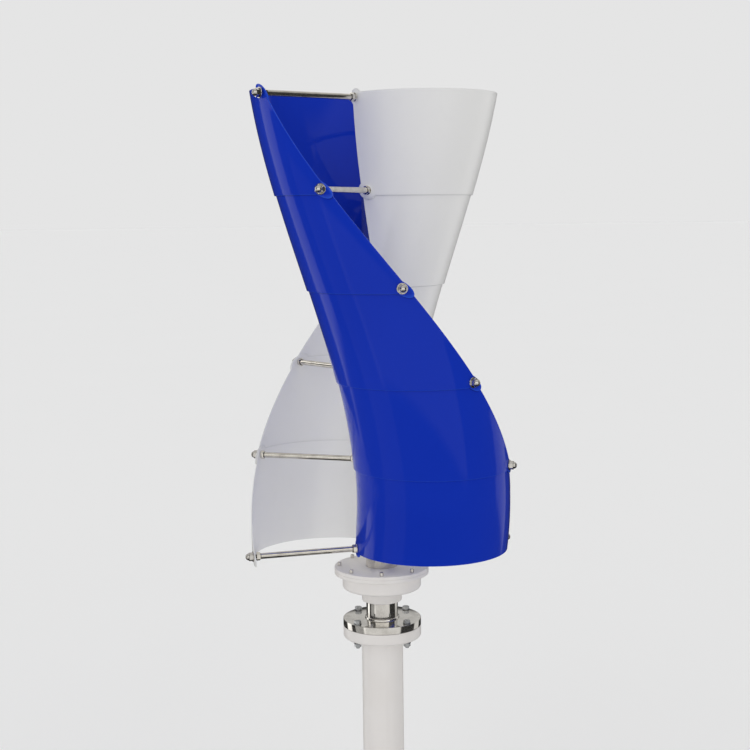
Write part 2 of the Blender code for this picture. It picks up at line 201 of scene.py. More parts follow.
def loft(bm, rings, closed=False):
    """Faces between successive rings of equal length. A ring of radius zero becomes a point."""
    nothing = 1e-7
    made = []
    for points in rings:
        first = Vector(points[0])
        if all((Vector(p) - first).length < nothing for p in points):
            made.append([bm.verts.new(first)] * len(points))
        else:
            made.append([bm.verts.new(p) for p in points])
    pairs = list(zip(made, made[1:]))
    if closed:
        pairs.append((made[-1], made[0]))
    for lower, upper in pairs:
        for n in range(len(lower)):
            m = (n + 1) % len(lower)
            corners = []
            for vert in (lower[n], lower[m], upper[m], upper[n]):
                if vert not in corners:
                    corners.append(vert)
            if len(corners) > 2:
                bm.faces.new(corners)
    return bm


def hardware(rings, closed=False):
    """A lofted rod, nut or bolt whose sharp inside corners are marked for painted shade."""
    bm = loft(bmesh.new(), rings, closed)
    bmesh.ops.recalc_face_normals(bm, faces=bm.faces)
    layer = bm.verts.layers.float.new("corner")
    sharp = math.radians(40)
    for edge in bm.edges:
        if edge.calc_face_angle_signed(0.0) < -sharp:
            for vert in edge.verts:
                vert[layer] = 1.0
    return bm


def rounded_profile(points):
    """Points (radius, height, fillet) as (radius, height), with each filleted corner as a short arc."""
    made = []
    for n, (x, y, fillet) in enumerate(points):
        if not fillet:
            made.append((x, y))
            continue
        here = Vector((x, y))
        before = (Vector(points[n - 1][:2]) - here).normalized()
        after = (Vector(points[(n + 1) % len(points)][:2]) - here).normalized()
        half = math.acos(max(-1.0, min(1.0, before.dot(after)))) / 2
        reach = fillet / math.tan(half)
        start, end = here + before * reach, here + after * reach
        centre = here + (before + after).normalized() * (fillet / math.sin(half))
        for step in range(FILLET_STEPS + 1):
            straight = start.lerp(end, step / FILLET_STEPS)
            spoke = (straight - centre).normalized() * fillet
            made.append(tuple(centre + spoke))
    return made


def lathe(profile, count=ROUND_FINE, closed=False):
    """A profile of (radius, height, fillet) points turned round Z."""
    rings = [circle_ring(r, h, count) for r, h in rounded_profile(profile)]
    return loft(bmesh.new(), rings, closed)


def row_z(row):
    return BOTTOM_ROW_Z + (SEGMENTS - row) * ROW_SPACING


def row_angle(row):
    return TOP_ROW_ANGLE + row * TWIST_PER_SEGMENT


def along_row(row, half_turn):
    """The matrix that lays local Z outwards along a bolt row, on the blue or the white side."""
    lift = Matrix.Translation((0.0, 0.0, row_z(row)))
    turn = Matrix.Rotation(row_angle(row) + half_turn * math.pi, 4, "Z")
    return lift @ turn @ Matrix.Rotation(math.pi / 2, 4, "Y")


# Materials

# Tone of the painted shadow line under each lap's edge, which the shadowless lamps don't cast
LAP_SHADOW_TONE = (0.010, 0.010, 0.014)
# Tone of the painted shade in the sharp inside corners of rods, nuts and bolts
CREVICE_SHADE = (0.045, 0.042, 0.038)


class Nodes:
    """A short way to write a node material."""

    def __init__(self, name, local=False):
        self.material = bpy.data.materials.new(name)
        self.material.use_nodes = True
        self.tree = self.material.node_tree
        self.shader = self.tree.nodes["Principled BSDF"]
        if local:
            self.coordinates = self.attribute("local", "Vector")
        else:
            self.coordinates = self.tree.nodes.new("ShaderNodeTexCoord").outputs["Object"]

    def link(self, source, target):
        self.tree.links.new(source, target)
        return target

    def set(self, **values):
        for label, value in values.items():
            self.shader.inputs[label.replace("_", " ")].default_value = value

    def stretched(self, x, y, z):
        mapping = self.tree.nodes.new("ShaderNodeMapping")
        mapping.inputs["Scale"].default_value = (x, y, z)
        self.link(self.coordinates, mapping.inputs["Vector"])
        return mapping.outputs["Vector"]

    def noise(self, scale, detail=3.0, vector=None, roughness=0.5):
        noise = self.tree.nodes.new("ShaderNodeTexNoise")
        noise.inputs["Scale"].default_value = scale
        noise.inputs["Detail"].default_value = detail
        noise.inputs["Roughness"].default_value = roughness
        self.link(vector or self.coordinates, noise.inputs["Vector"])
        return noise.outputs["Fac"]

    def spread(self, source, low, high, to_low=0.0, to_high=1.0):
        """Maps low..high to to_low..to_high, clamped."""
        spread = self.tree.nodes.new("ShaderNodeMapRange")
        spread.inputs["From Min"].default_value = low
        spread.inputs["From Max"].default_value = high
        spread.inputs["To Min"].default_value = to_low
        spread.inputs["To Max"].default_value = to_high
        self.link(source, spread.inputs["Value"])
        return spread.outputs["Result"]

    def maths(self, operation, a, b):
        node = self.tree.nodes.new("ShaderNodeMath")
        node.operation = operation
        for value, socket in ((a, node.inputs[0]), (b, node.inputs[1])):
            if isinstance(value, (int, float)):
                socket.default_value = value
            else:
                self.link(value, socket)
        return node.outputs[0]

    def mix(self, share, a, b):
        """Two colours mixed by a share; a colour is a tuple or a socket."""
        node = self.tree.nodes.new("ShaderNodeMix")
        node.data_type = "RGBA"
        for value, socket in ((share, node.inputs[0]), (a, node.inputs[6]), (b, node.inputs[7])):
            if isinstance(value, tuple):
                socket.default_value = (*value, 1.0)
            elif isinstance(value, (int, float)):
                socket.default_value = value
            else:
                self.link(value, socket)
        return node.outputs[2]

    def attribute(self, name, output="Fac"):
        node = self.tree.nodes.new("ShaderNodeAttribute")
        node.attribute_name = name
        return node.outputs[output]

    def bump(self, height, distance, strength=1.0, coat=False):
        node = self.tree.nodes.new("ShaderNodeBump")
        node.inputs["Distance"].default_value = distance
        node.inputs["Strength"].default_value = strength
        self.link(height, node.inputs["Height"])
        self.link(node.outputs["Normal"], self.shader.inputs["Normal"])
        if coat:
            self.link(node.outputs["Normal"], self.shader.inputs["Coat Normal"])

    def colour(self, socket):
        self.link(socket, self.shader.inputs["Base Color"])

    def roughness(self, socket):
        self.link(socket, self.shader.inputs["Roughness"])


def gloss_paint(name, deep, light, rim):
    """Sprayed two-coat gloss paint on sheet metal: slow colour drift, dust, orange peel, and lighter rims,
    a painted highlight along the sheet's edges.
    """
    nodes = Nodes(name)
    drift = nodes.spread(nodes.noise(2.2, 2.0), 0.35, 0.65)
    dust = nodes.spread(nodes.noise(900.0, 2.0), 0.68, 0.80, 0.0, 0.10)
    # Painted highlight: the rims of the sheet are mixed towards the lighter rim tone
    edge = nodes.spread(nodes.attribute("edge"), 0.2, 1.0, 0.0, 0.75)
    body = nodes.mix(drift, deep, light)
    body = nodes.mix(dust, body, rim)
    # Painted shadow: a dark line where the neighbouring segment's lap ends
    body = nodes.mix(nodes.spread(nodes.attribute("lap_shadow"), 0.0, 1.0, 0.0, 0.6), body, LAP_SHADOW_TONE)
    nodes.colour(nodes.mix(edge, body, rim))
    nodes.roughness(nodes.spread(nodes.noise(60.0, 4.0), 0.3, 0.7, 0.30, 0.42))
    nodes.set(Coat_Weight=1.0, Coat_Roughness=0.02, Coat_IOR=1.177, Specular_IOR_Level=0.02)
    wave = nodes.maths("MULTIPLY", nodes.noise(7.0, 1.0), 14.0)
    peel = nodes.maths("ADD", wave, nodes.maths("MULTIPLY", nodes.noise(420.0, 1.0), 0.10))
    nodes.bump(peel, 0.00003, coat=True)
    return nodes.material


def satin_paint(name, deep, light, rim):
    """White sprayed paint with a softer gloss than the blue."""
    nodes = Nodes(name)
    drift = nodes.spread(nodes.noise(1.8, 2.0), 0.35, 0.65)
    grime = nodes.spread(nodes.noise(26.0, 6.0, roughness=0.65), 0.55, 0.85, 0.0, 0.35)
    edge = nodes.spread(nodes.attribute("edge"), 0.2, 1.0, 0.0, 0.8)
    body = nodes.mix(drift, deep, light)
    body = nodes.mix(grime, body, tuple(value * 0.94 for value in deep))
    # Painted shadow: a faint dark line where the neighbouring segment's lap ends
    body = nodes.mix(nodes.spread(nodes.attribute("lap_shadow"), 0.0, 1.0, 0.0, 0.22), body, LAP_SHADOW_TONE)
    nodes.colour(nodes.mix(edge, body, rim))
    nodes.roughness(nodes.spread(nodes.noise(45.0, 4.0), 0.3, 0.7, 0.34, 0.46))
    nodes.set(Coat_Weight=0.35, Coat_Roughness=0.16, Coat_IOR=1.45, Specular_IOR_Level=0.35)
    wave = nodes.maths("MULTIPLY", nodes.noise(7.0, 1.0), 10.0)
    peel = nodes.maths("ADD", wave, nodes.maths("MULTIPLY", nodes.noise(500.0, 1.0), 0.22))
    nodes.bump(peel, 0.00003, coat=True)
    return nodes.material


def powder_coat(name, deep, light):
    """Stoved powder coat on the castings and the pole: fine pebbled skin with faint streaks of dirt."""
    nodes = Nodes(name)
    drift = nodes.spread(nodes.noise(9.0, 3.0), 0.35, 0.65)
    streaks = nodes.noise(1.0, 4.0, nodes.stretched(60.0, 60.0, 3.0), 0.6)
    darkening = nodes.spread(streaks, 0.58, 0.80, 0.0, 0.30)
    body = nodes.mix(drift, deep, light)
    nodes.colour(nodes.mix(darkening, body, tuple(value * 0.90 for value in deep)))
    nodes.roughness(nodes.spread(nodes.noise(120.0, 3.0), 0.3, 0.7, 0.38, 0.52))
    nodes.set(Coat_Weight=0.15, Coat_Roughness=0.25, Specular_IOR_Level=0.45)
    nodes.bump(nodes.noise(650.0, 2.0), 0.00012, 0.6)
    return nodes.material


def steel(name, bright, dull, rough_low, rough_high, stretch, local=False):
    """Bright steel with machining or polishing lines along one direction and faint handling marks."""
    nodes = Nodes(name, local)
    lines = nodes.noise(1.0, 5.0, nodes.stretched(*stretch), 0.65)
    smudge = nodes.spread(nodes.noise(38.0, 4.0), 0.42, 0.68)
    # Painted shade in the sharp inside corners
    darkening = nodes.spread(nodes.attribute("corner"), 0.15, 1.0, 0.0, 0.9)
    nodes.colour(nodes.mix(darkening, nodes.mix(smudge, bright, dull), CREVICE_SHADE))
    base = nodes.spread(lines, 0.25, 0.75, rough_low, rough_high)
    marks = nodes.maths("MULTIPLY", smudge, 0.06)
    nodes.roughness(nodes.maths("ADD", base, marks))
    nodes.set(Metallic=0.97)
    nodes.bump(lines, 0.00002, 0.5)
    return nodes.material


def plain_solid(name, deep, light, rough, scale, bump, metallic=0.0):
    """A cast, moulded or resin surface with grain at one scale."""
    nodes = Nodes(name)
    nodes.colour(nodes.mix(nodes.spread(nodes.noise(scale, 5.0), 0.3, 0.7), deep, light))
    nodes.roughness(nodes.spread(nodes.noise(scale * 3.0), 0.3, 0.7, rough - 0.08, rough + 0.08))
    nodes.set(Metallic=metallic)
    nodes.bump(nodes.noise(scale * 6.0), bump, 0.7)
    return nodes.material


# Paints: deep and light tone, and the tone of the rims. Steels: bright and dull tone, lowest and highest
# roughness, and how fine the polishing lines are along X, Y and Z
BLUE = gloss_paint("blue_paint", (0.0050, 0.0290, 0.415), (0.0065, 0.0330, 0.445), (0.020, 0.085, 0.62))
WHITE = satin_paint("white_paint", (0.832, 0.829, 0.818), (0.850, 0.847, 0.836), (0.72, 0.72, 0.71))
BASE_WHITE = powder_coat("base_white", (0.745, 0.715, 0.690), (0.775, 0.750, 0.730))
STAINLESS = steel(
    "stainless", (0.70, 0.68, 0.645), (0.58, 0.56, 0.53), 0.04, 0.10, (30.0, 30.0, 900.0), local=True,
)
LONG_STEEL = steel(
    "stainless_bar", (0.73, 0.70, 0.64), (0.60, 0.57, 0.52), 0.04, 0.10, (700.0, 700.0, 8.0), local=True,
)
# Zinc plating is duller than stainless; its tone is also kept darker as painted shade for the nuts under
# the pole's flange, which the shadowless lamps light fully
ZINC = steel("zinc_steel", (0.40, 0.41, 0.42), (0.25, 0.26, 0.28), 0.16, 0.32, (300.0, 300.0, 300.0))
RACE = steel("bearing_steel", (0.56, 0.56, 0.57), (0.46, 0.46, 0.48), 0.08, 0.16, (40.0, 40.0, 1200.0))
MAGNET = plain_solid("magnet_steel", (0.16, 0.16, 0.17), (0.30, 0.30, 0.32), 0.42, 90.0, 0.0001, 1.0)
RESIN = plain_solid("coil_resin", (0.030, 0.100, 0.040), (0.070, 0.190, 0.080), 0.45, 60.0, 0.0001)
RUBBER = plain_solid("seal_rubber", (0.012, 0.012, 0.012), (0.030, 0.030, 0.030), 0.62, 140.0, 0.00005)

# Scoop segments


def sheet_point(along, z, first_row, rise):
    """A point of a segment's sheet: `along` round it from the outer bolt line, `rise` off its middle."""
    row = SEGMENTS - (z - BOTTOM_ROW_Z) / ROW_SPACING
    radius = SCOOP_RADIUS + LAP_STEP * (row - first_row - 0.5) + rise
    past_end = along - ARC_LENGTH
    if along < 0.0:
        out, side = SCOOP_CENTRE + radius, along
    elif past_end > 0.0:
        out, side = SCOOP_CENTRE - radius, -past_end
    else:
        bend = along / SCOOP_RADIUS
        out, side = SCOOP_CENTRE + radius * math.cos(bend), radius * math.sin(bend)
    turn = row_angle(row)
    x = out * math.cos(turn) + side * math.sin(turn)
    y = out * math.sin(turn) - side * math.cos(turn)
    return x, y, z


def spaced(low, high, step):
    """Evenly spaced values between two, both left out, no further apart than the step."""
    count = max(1, math.ceil((high - low) / step))
    return [low + (high - low) * n / count for n in range(1, count)]


def graded(low, high, coarse):
    """Values from low to high that are close together near both ends, where the ears are."""
    near = 0.034
    count = round(near / 0.0016)
    near_low = [low + near * n / count for n in range(count + 1)]
    near_high = [high - value + low for value in reversed(near_low)]
    return near_low + spaced(near_low[-1], near_high[0], coarse) + near_high


def with_ears(along, z, bolts, on_edge):
    """A place on the flat pattern; an edge point near a bolt moves out to the round of its ear."""
    if on_edge:
        for bolt_along, bolt_z in bolts:
            across, up = along - bolt_along, z - bolt_z
            away = math.hypot(across, up)
            if away < EAR_RADIUS:
                stretch = EAR_RADIUS / away
                return bolt_along + across * stretch, bolt_z + up * stretch
    return along, z


def lap_shadow_share(along, z, row_height, below):
    """How far a point lies in the painted shadow line where the neighbour's lap and its ears end, from 0 to
    1.
    """
    line = 0.0016
    away = abs(z - row_height + (LAP if below else -LAP))
    for bolt_along in (0.0, ARC_LENGTH):
        reach = math.hypot(along - bolt_along, z - row_height)
        past_lap = z < row_height - LAP if below else z > row_height + LAP
        if past_lap and reach > EAR_RADIUS - line:
            away = min(away, reach - EAR_RADIUS)
    return max(0.0, 1.0 - abs(away) / line)


def segment_mesh(first_row, material):
    """One rolled segment as a closed sheet with rounded ears and a small radius along its rim."""
    top, bottom = row_z(first_row), row_z(first_row + 1)
    columns = graded(-EDGE_MARGIN, ARC_LENGTH + EDGE_MARGIN, 0.0065)
    heights = graded(bottom - LAP, top + LAP, 0.0075)
    bolts = [(along, z) for along in (0.0, ARC_LENGTH) for z in (top, bottom)]
    across, up = len(columns) - 1, len(heights) - 1
    flat = {}
    for i, column in enumerate(columns):
        for j, height in enumerate(heights):
            flat[i, j] = with_ears(column, height, bolts, i in (0, across) or j in (0, up))
    bm = bmesh.new()
    edge_layer = bm.verts.layers.float.new("edge")
    lap_shadow_layer = bm.verts.layers.float.new("lap_shadow")
    rim_round = 0.0005
    inner_lap_shadow = 0.4
    grids = []
    for rise in (SHEET / 2, -SHEET / 2):
        grid = {}
        for (i, j), (along, z) in flat.items():
            grid[i, j] = bm.verts.new(sheet_point(along, z, first_row, rise))
            grid[i, j][edge_layer] = 1.0 if i in (0, across) or j in (0, up) else 0.0
            # Painted shadow lines: outside where the lap of the segment above ends, inside and fainter
            # where the lap of the segment below ends
            if rise > 0.0 and first_row > 0:
                grid[i, j][lap_shadow_layer] = lap_shadow_share(along, z, top, True)
            elif rise < 0.0 and first_row < SEGMENTS - 1:
                grid[i, j][lap_shadow_layer] = inner_lap_shadow * lap_shadow_share(along, z, bottom, False)
        grids.append(grid)
        for i in range(across):
            for j in range(up):
                bm.faces.new((grid[i, j], grid[i + 1, j], grid[i + 1, j + 1], grid[i, j + 1]))
    rim = [(i, 0) for i in range(across)] + [(across, j) for j in range(up)]
    rim += [(i, up) for i in range(across, 0, -1)] + [(0, j) for j in range(up, 0, -1)]
    outer, inner = grids
    for here, after in zip(rim, rim[1:] + rim[:1]):
        bm.faces.new((outer[here], outer[after], inner[after], inner[here]))
    bmesh.ops.recalc_face_normals(bm, faces=bm.faces)
    rim_edges = [edge for edge in bm.edges if edge.calc_face_angle(0.0) > math.radians(55)]
    bmesh.ops.bevel(bm, geom=rim_edges, offset=rim_round, segments=2, affect="EDGES", profile=0.5)
    mesh = bpy.data.meshes.new(material.name)
    bm.to_mesh(mesh)
    bm.free()
    mesh.materials.append(material)
    return mesh


def build_segments():
    for half_turn, side in enumerate(SIDES):
        material = (BLUE, WHITE)[half_turn]
        turn = Matrix.Rotation(half_turn * math.pi, 4, "Z")
        for first_row in range(SEGMENTS):
            number = first_row + 1
            mesh = segment_mesh(first_row, material)
            place_piece(
                f"{side}_segment_{number}", mesh, material, "rotor", [f"{side}_blade_{number}"],
                turn, crease=50.0,
            )


# Tie rods and their nuts


def washer_rings(radius, low, high, bore):
    """Rings up the outside of a washer with rounded rims, from its bore at the low face."""
    soft = 0.0004
    return [
        circle_ring(bore, low),
        circle_ring(radius - soft, low),
        circle_ring(radius, low + soft),
        circle_ring(radius, high - soft),
        circle_ring(radius - soft, high),
    ]


def build_rods():
    inner_seat = INNER_ROW_RADIUS + SEAT
    outer_seat = OUTER_ROW_RADIUS - SEAT
    stud_start = 0.037
    stud_end = OUTER_ROW_RADIUS + SEAT + 0.008
    soft = 0.0008
    plain = 0.004
    hex_low = inner_seat + WASHER
    hex_high = hex_low + HEX_LENGTH
    outer_hex_low = outer_seat - HEX_LENGTH
    rings = [circle_ring(0.0, stud_start), circle_ring(STUD_RADIUS, stud_start)]
    rings += washer_rings(WASHER_RADIUS - 0.0015, inner_seat, hex_low, STUD_RADIUS)
    rings += chamfered_hexagon(HEX_RADIUS, hex_low, hex_high)
    rings += [
        circle_ring(ROD_RADIUS, hex_high),
        circle_ring(ROD_RADIUS, hex_high + plain),
        circle_ring(ROD_RADIUS, outer_hex_low - plain),
        circle_ring(ROD_RADIUS, outer_hex_low),
    ]
    rings += chamfered_hexagon(HEX_RADIUS, outer_hex_low, outer_seat)
    rings += [
        circle_ring(STUD_RADIUS, outer_seat),
        circle_ring(STUD_RADIUS, stud_end - soft),
        circle_ring(STUD_RADIUS - soft, stud_end),
        circle_ring(0.0, stud_end),
    ]
    for row in ROWS:
        for half_turn, side in enumerate(SIDES):
            new_piece(
                f"{side}_rod_{row}", hardware(rings), LONG_STEEL, "rotor",
                [f"tie_rod_{side}_{row}"], along_row(row, half_turn),
            )


def build_dome_nuts():
    seat = OUTER_ROW_RADIUS + SEAT
    washer_top = seat + WASHER
    hex_top = washer_top + HEX_LENGTH
    bore_top = seat + 0.0115
    rings = [circle_ring(0.0, bore_top), circle_ring(NUT_BORE, bore_top)]
    rings += washer_rings(WASHER_RADIUS, seat, washer_top, NUT_BORE)
    rings += chamfered_hexagon(HEX_RADIUS, washer_top, hex_top)
    for angle in range(0, 90, 10):
        bend = math.radians(angle)
        rings.append(circle_ring(DOME_RADIUS * math.cos(bend), hex_top + DOME_RADIUS * math.sin(bend)))
    rings.append(circle_ring(0.0, hex_top + DOME_RADIUS))
    for row in ROWS:
        for half_turn, side in enumerate(SIDES):
            new_piece(
                f"{side}_acorn_nut_{row}", hardware(rings), STAINLESS, "rotor",
                [f"dome_nut_{side}_{row}"], along_row(row, half_turn),
            )


def build_top_inner_nuts():
    low, high = 0.038, INNER_ROW_RADIUS - SEAT
    rings = chamfered_hexagon(HEX_RADIUS, low, high)
    rings = [circle_ring(NUT_BORE, low), *rings, circle_ring(NUT_BORE, high)]
    for half_turn, side in enumerate(SIDES):
        new_piece(
            f"{side}_lock_nut", hardware(rings, closed=True), STAINLESS, "rotor",
            [f"top_inner_nut_{side}"], along_row(0, half_turn),
        )


# Centre tube


def build_centre_tube():
    """The tube, closed at its top by a sunk plate, and its foot flange under the cover plate."""
    top, bottom = high_z("centre_tube"), low_z("centre_tube")
    foot_radius = outer_radius("centre_tube")
    foot_top = bottom + 0.005
    plate_top, plate_low = top - 0.0012, top - 0.004
    profile = [
        (0.0, plate_top, 0.0),
        (TUBE_RADIUS - 0.004, plate_top, 0.001),
        (TUBE_RADIUS - 0.003, top, 0.0005),
        (TUBE_RADIUS, top, 0.0012),
        (TUBE_RADIUS, foot_top, 0.0),
        (foot_radius, foot_top, 0.001),
        (foot_radius, bottom, 0.0005),
        (TUBE_BORE, bottom, 0.0),
        (TUBE_BORE, plate_low, 0.0),
        (0.0, plate_low, 0.0),
    ]
    new_piece("centre_tube_fine", lathe(profile), LONG_STEEL, "rotor", ["centre_tube"])


def build_tube_bosses():
    """Short bosses welded to the tube, which the rods screw into."""
    radius = 0.008
    weld = 0.0022
    start, end = TUBE_BORE + 0.001, INNER_ROW_RADIUS - SEAT
    profile = [
        (NUT_BORE, start, 0.0),
        (radius + weld, start, 0.0),
        (radius + weld, TUBE_RADIUS + 0.0002, 0.0008),
        (radius, TUBE_RADIUS + weld, 0.0008),
        (radius, end, 0.0006),
        (NUT_BORE, end, 0.0),
    ]
    for row in list(ROWS)[1:]:
        for half_turn, side in enumerate(SIDES):
            new_piece(
                f"{side}_tube_boss_{row}", lathe(profile, ROUND_SMALL, closed=True), STAINLESS,
                "rotor", (), along_row(row, half_turn),
            )


# Generator


def build_cover():
    low, high = low_z("generator_cover"), high_z("generator_cover")
    radius = outer_radius("generator_cover")
    inner = TUBE_RADIUS + 0.0005
    profile = [
        (inner, high, 0.0005),
        (inner, low, 0.0),
        (radius, low, 0.0006),
        (radius, high, 0.0012),
    ]
    new_piece(
        "cover_plate", lathe(profile, closed=True), BASE_WHITE, "rotor", ["generator_cover"],
    )


def build_cover_screws():
    """Socket head screws in a ring on the cover plate."""
    high = high_z("generator_cover")
    shank, below = 0.0025, -0.002
    head_radius, head = 0.0042, 0.0080
    soft = 0.0006
    socket, socket_floor = 0.0023, head - 0.0034
    rings = [
        circle_ring(0.0, below),
        circle_ring(shank, below),
        circle_ring(shank, 0.0),
        circle_ring(head_radius, 0.0),
        circle_ring(head_radius, head - soft),
        circle_ring(head_radius - soft, head),
        hexagon_ring(socket + 0.0002, head),
        hexagon_ring(socket, head - 0.0004),
        hexagon_ring(socket, socket_floor),
        circle_ring(0.0, socket_floor),
    ]
    for n in range(COVER_SCREWS):
        angle = n * math.tau / COVER_SCREWS
        place = Matrix.Rotation(angle, 4, "Z") @ Matrix.Translation((COVER_SCREW_CIRCLE, 0.0, high))
        new_piece(
            f"cover_screw_{n + 1}", hardware(rings), STAINLESS, "rotor", (), place,
        )


def build_housing():
    low, high = low_z("generator_housing"), high_z("generator_housing")
    lip_radius = outer_radius("generator_housing")
    body_radius, wall = 0.0845, 0.0055
    hub_radius = 0.043
    lip_z = high - 0.008
    body_z = low + 0.0285
    floor_z = body_z + 0.008
    race_top = floor_z - 0.0018
    bore, shelf = 0.0312, 0.028
    profile = [
        (lip_radius, high, 0.0006),
        (lip_radius, lip_z, 0.0016),
        (body_radius, lip_z, 0.0010),
        (body_radius, body_z, 0.0060),
        (hub_radius, body_z, 0.0020),
        (hub_radius, low, 0.0018),
        (bore, low, 0.0004),
        (bore, race_top, 0.0),
        (shelf, race_top, 0.0),
        (shelf, floor_z, 0.0),
        (body_radius - wall, floor_z, 0.0015),
        (body_radius - wall, high, 0.0),
    ]
    new_piece(
        "housing_casting", lathe(profile, closed=True), BASE_WHITE, "rotor", ["generator_housing"],
    )


def build_shaft():
    """The hollow shaft, its shoulder under the bearing, the polished neck, and the flange it stands on."""
    low, high = low_z("stator_shaft"), high_z("stator_shaft")
    radius = outer_radius("stator_shaft")
    journal, shoulder, neck, bore = 0.015, 0.019, 0.034, 0.007
    neck_low = low + 0.0155
    hub_low = low_z("generator_housing")
    neck_top = hub_low - 0.0010
    shoulder_top = hub_low + 0.0005
    bead = 0.0034
    profile = [
        (journal, high, 0.001),
        (journal, shoulder_top, 0.0),
        (shoulder, shoulder_top, 0.0),
        (shoulder, neck_top, 0.0),
        (neck, neck_top, 0.0009),
        (neck, neck_low + bead, 0.0006),
        (neck + bead * 0.8, neck_low + bead * 0.75, 0.0008),
        (neck + bead, neck_low, 0.0),
        (radius, neck_low, 0.0008),
        (radius, low, 0.0008),
        (bore, low, 0.0005),
        (bore, high, 0.0005),
    ]
    new_piece(
        "shaft_and_flange", lathe(profile, closed=True), STAINLESS, "base", ["stator_shaft"],
    )


# Pole


def build_pole():
    """The pipe with its top flange, its foot, a weld bead at each, and four anchor holes."""
    top = high_z("pole")
    flange_low = top - 0.025
    flange_radius = 0.084
    radius, wall = 0.0889 / 2, 0.004
    foot_radius = outer_radius("pole")
    foot = 0.012
    plate_low = top - 0.010
    gland = 0.020
    bead = 0.0045
    underside = low_z("pole") + 0.0001
    profile = [
        (flange_radius, top, 0.0012),
        (flange_radius, flange_low, 0.0050),
        (radius + bead * 0.6, flange_low, 0.0),
        (radius, flange_low - bead * 0.6, 0.0012),
        (radius, foot + bead, 0.0015),
        (radius + bead * 0.8, foot + bead * 0.6, 0.0012),
        (radius + bead, foot, 0.0008),
        (foot_radius, foot, 0.0015),
        (foot_radius, underside, 0.0006),
        (radius - wall, underside, 0.0004),
        (radius - wall, plate_low, 0.0),
        (gland, plate_low, 0.0),
        (gland, top, 0.0005),
    ]
    pole = new_piece(
        "pole_weldment", lathe(profile, closed=True), BASE_WHITE, "base", ["pole"],
    )
    anchor_radius, anchor_circle = 0.006, 0.080
    below, above = -0.01, foot + 0.01
    rings = [
        circle_ring(0.0, below),
        circle_ring(anchor_radius, below),
        circle_ring(anchor_radius, above),
        circle_ring(0.0, above),
    ]
    drills = []
    for n in range(4):
        angle = math.pi / 4 + n * math.pi / 2
        place = Matrix.Rotation(angle, 4, "Z") @ Matrix.Translation((anchor_circle, 0.0, 0.0))
        drills.append((loft(bmesh.new(), rings), place))
    cut_holes(pole, drills)


def cut_holes(piece, drills):
    """Cuts drills, each a bmesh and its matrix, out of a piece and applies the result to its mesh."""
    whole = bmesh.new()
    for bm, place in drills:
        bmesh.ops.transform(bm, matrix=place, verts=bm.verts)
        bmesh.ops.recalc_face_normals(bm, faces=bm.faces)
        part = bpy.data.meshes.new("drill")
        bm.to_mesh(part)
        bm.free()
        whole.from_mesh(part)
        bpy.data.meshes.remove(part)
    mesh = bpy.data.meshes.new("drills")
    whole.to_mesh(mesh)
    whole.free()
    cutter = bpy.data.objects.new("drills", mesh)
    bpy.context.scene.collection.objects.link(cutter)
    cut = piece.modifiers.new("holes", "BOOLEAN")
    cut.operation = "DIFFERENCE"
    cut.solver = "EXACT"
    cut.object = cutter
    bpy.context.view_layer.update()
    evaluated = piece.evaluated_get(bpy.context.evaluated_depsgraph_get())
    drilled = bpy.data.meshes.new_from_object(evaluated)
    piece.modifiers.clear()
    piece.data = drilled
    bpy.data.objects.remove(cutter, do_unlink=True)


def build_flange_bolts():
    """Hexagon bolts through both flanges, with washers, and nuts under the pole's flange."""
    head = 0.0055
    soft = 0.0005
    washer = BOLT_HEX_RADIUS + 0.0010
    bore = BOLT_RADIUS + 0.0003
    for n in range(1, 5):
        bolt, nut = f"flange_bolt_{n}", f"flange_nut_{n}"
        low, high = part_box(bolt)
        middle = (low + high) / 2
        place = Matrix.Translation((middle.x, middle.y, 0.0))
        head_low = high.z - head
        washer_low = head_low - WASHER
        rings = [
            circle_ring(0.0, low.z),
            circle_ring(BOLT_RADIUS - soft, low.z),
            circle_ring(BOLT_RADIUS, low.z + soft),
            circle_ring(BOLT_RADIUS, washer_low),
        ]
        rings += washer_rings(washer, washer_low, head_low, BOLT_RADIUS)[1:]
        rings += chamfered_hexagon(BOLT_HEX_RADIUS, head_low, high.z)
        rings += [circle_ring(BOLT_HEX_RADIUS * 0.6, high.z), circle_ring(0.0, high.z)]
        new_piece(
            f"{bolt}_fine", hardware(rings), ZINC, "base", [bolt], place,
        )
        nut_low, nut_high = low_z(nut), high_z(nut)
        rings = chamfered_hexagon(BOLT_HEX_RADIUS, nut_low, nut_high - WASHER)
        rings += washer_rings(washer, nut_high - WASHER, nut_high, BOLT_HEX_RADIUS * 0.9)[1:]
        rings = [circle_ring(bore, nut_low), *rings, circle_ring(bore, nut_high)]
        new_piece(
            f"{nut}_fine", hardware(rings, closed=True), ZINC, "base", [nut],
            place,
        )


def finish_inner_nodes():
    """The sealed inner parts keep their CAD meshes and get finished materials."""
    finishes = {
        "upper_magnet_rotor": MAGNET,
        "lower_magnet_rotor": MAGNET,
        "stator_coil_disc": RESIN,
        "shaft_lock_nut": ZINC,
        "hub_seal": RUBBER,
        "upper_bearing_outer": RACE,
        "upper_bearing_inner": RACE,
        "lower_bearing_outer": RACE,
        "lower_bearing_inner": RACE,
    }
    for node, material in finishes.items():
        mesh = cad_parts[node].data
        mesh.materials.clear()
        mesh.materials.append(material)


# Studio

# Brightness of the backdrop, of the even light all round, and of the floor, which looks as bright as the
# backdrop, so that no horizon shows
BACKDROP = 0.783
AMBIENT = 0.55
FLOOR_TONE = 0.9225
FLOOR_HALF_WIDTH = 150.0

